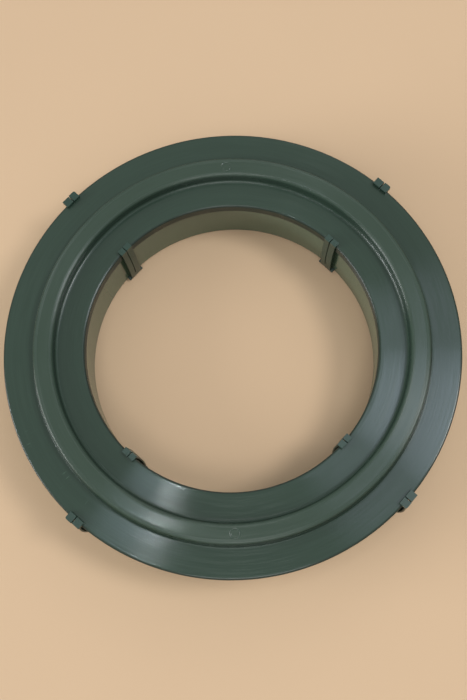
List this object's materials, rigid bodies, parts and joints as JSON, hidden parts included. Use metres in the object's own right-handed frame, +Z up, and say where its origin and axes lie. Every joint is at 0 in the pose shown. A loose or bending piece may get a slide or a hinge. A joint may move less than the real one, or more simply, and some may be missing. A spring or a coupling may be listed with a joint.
{
  "type": "wreath frame",
  "caption": "Hollow round wreath frame: a stepped plastic cover clipped over a deep base ring by hinged strap clips inside and outside.",
  "frame": {"origin": "centre of the ring, on the surface that the base stands on", "axes": "+Z up along the ring's axis; +Y towards one of the two gate marks on the plateau, so the clip stations lie at about 45 degrees between X and Y"},
  "size_m": [0.5589, 0.559, 0.102],
  "materials": {
    "cover_plastic": "satin dark green, with fine concentric tool marks",
    "base_plastic": "satin dark green",
    "clip_plastic": "satin green, a little paler than the shells"
  },
  "bodies": {
    "ring": {"cover_ring": "cover_plastic", "base_ring": "base_plastic"},
    "outer_clip_1": {"outer_clip_1": "clip_plastic"},
    "outer_clip_2": {"outer_clip_2": "clip_plastic"},
    "outer_clip_3": {"outer_clip_3": "clip_plastic"},
    "outer_clip_4": {"outer_clip_4": "clip_plastic"},
    "inner_clip_1": {"inner_clip_1": "clip_plastic"},
    "inner_clip_2": {"inner_clip_2": "clip_plastic"},
    "inner_clip_3": {"inner_clip_3": "clip_plastic"},
    "inner_clip_4": {"inner_clip_4": "clip_plastic"}
  },
  "joints": [
    {"name": "outer_clip_1_swing", "type": "hinge", "parent": "ring", "child": "outer_clip_1", "pos_m": [0.19618, 0.19964, 0.0049], "axis": [-0.7133, 0.7009, 0], "range_deg": [0, 80]},
    {"name": "outer_clip_2_swing", "type": "hinge", "parent": "ring", "child": "outer_clip_2", "pos_m": [-0.19964, 0.19618, 0.0049], "axis": [-0.7009, -0.7133, 0], "range_deg": [0, 80]},
    {"name": "outer_clip_3_swing", "type": "hinge", "parent": "ring", "child": "outer_clip_3", "pos_m": [-0.18729, -0.20801, 0.0049], "axis": [0.7431, -0.6691, 0], "range_deg": [0, 80]},
    {"name": "outer_clip_4_swing", "type": "hinge", "parent": "ring", "child": "outer_clip_4", "pos_m": [0.20134, -0.19443, 0.0049], "axis": [0.6947, 0.7193, 0], "range_deg": [0, 80]},
    {"name": "inner_clip_1_swing", "type": "hinge", "parent": "ring", "child": "inner_clip_1", "pos_m": [0.12774, 0.12553, 0.0049], "axis": [0.7009, -0.7133, 0], "range_deg": [0, 80]},
    {"name": "inner_clip_2_swing", "type": "hinge", "parent": "ring", "child": "inner_clip_2", "pos_m": [-0.12883, 0.12441, 0.0049], "axis": [0.6947, 0.7193, 0], "range_deg": [0, 80]},
    {"name": "inner_clip_3_swing", "type": "hinge", "parent": "ring", "child": "inner_clip_3", "pos_m": [-0.12215, -0.13098, 0.0049], "axis": [-0.7314, 0.682, 0], "range_deg": [0, 80]},
    {"name": "inner_clip_4_swing", "type": "hinge", "parent": "ring", "child": "inner_clip_4", "pos_m": [0.12992, -0.12328, 0.0049], "axis": [-0.6884, -0.7254, 0], "range_deg": [0, 80]}
  ]
}
